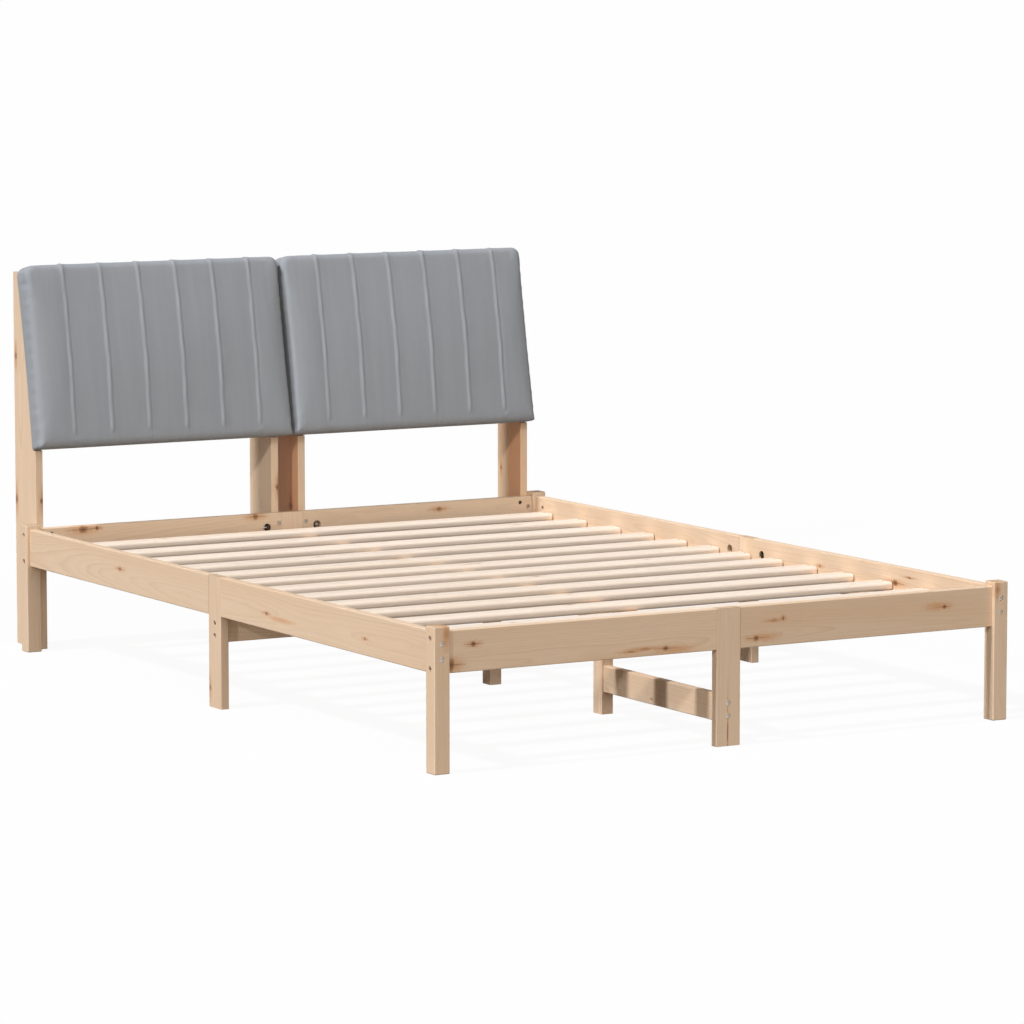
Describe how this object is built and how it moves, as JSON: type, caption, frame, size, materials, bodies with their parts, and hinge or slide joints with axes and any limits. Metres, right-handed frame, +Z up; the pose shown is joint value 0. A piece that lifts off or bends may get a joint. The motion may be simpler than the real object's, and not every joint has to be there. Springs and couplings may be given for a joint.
{
  "type": "bed frame",
  "caption": "Pine double bed frame with a slatted base, square legs, plank mid-legs, low stretchers and a leaning headboard of channelled fabric cushions on timber uprights.",
  "frame": {"origin": "on the floor, at the middle of the whole bed's outline", "axes": "+X across the bed to the right seen from the foot, +Y from the foot towards the headboard, +Z up"},
  "size_m": [1.455, 2.1644, 0.9327],
  "materials": {
    "pine": "untreated sanded pine",
    "slat_pine": "untreated planed pine",
    "backing_ply": "plywood",
    "dowel_beech": "fluted beech",
    "cushion_fabric": "fine woven fabric",
    "zinc_steel": "bright zinc"
  },
  "bodies": {
    "root": {"backing_board_left": "backing_ply", "backing_board_right": "backing_ply", "beam_dowels": "dowel_beech", "centre_beam_foot": "pine", "centre_beam_head": "pine", "centre_leg_foot": "pine", "centre_leg_head": "pine", "centre_leg_middle": "pine", "corner_bolts": "zinc_steel", "cross_nuts": "zinc_steel", "cross_stretcher_left": "pine", "cross_stretcher_right": "pine", "cushion_bolts": "zinc_steel", "cushion_left": "cushion_fabric", "cushion_right": "cushion_fabric", "foot_rail_left": "pine", "foot_rail_right": "pine", "head_rail_left": "pine", "head_rail_right": "pine", "insert_nuts": "zinc_steel", "ledge_screws": "zinc_steel", "leg_foot_left": "pine", "leg_foot_right": "pine", "leg_head_left": "pine", "leg_head_right": "pine", "long_stretcher_foot": "pine", "long_stretcher_head": "pine", "mid_leg_foot": "pine", "mid_leg_head": "pine", "mid_leg_left": "pine", "mid_leg_right": "pine", "side_rail_left_foot": "pine", "side_rail_left_head": "pine", "side_rail_right_foot": "pine", "side_rail_right_head": "pine", "slat_01": "slat_pine", "slat_02": "slat_pine", "slat_03": "slat_pine", "slat_04": "slat_pine", "slat_05": "slat_pine", "slat_06": "slat_pine", "slat_07": "slat_pine", "slat_08": "slat_pine", "slat_09": "slat_pine", "slat_10": "slat_pine", "slat_11": "slat_pine", "slat_12": "slat_pine", "slat_13": "slat_pine", "slat_ledge_left_foot": "pine", "slat_ledge_left_head": "pine", "slat_ledge_right_foot": "pine", "slat_ledge_right_head": "pine", "slat_screws": "zinc_steel", "stretcher_bolts": "zinc_steel", "studs": "zinc_steel", "upright_bolts": "zinc_steel", "upright_centre_left": "pine", "upright_centre_right": "pine", "upright_left": "pine", "upright_right": "pine"}
  },
  "joints": []
}
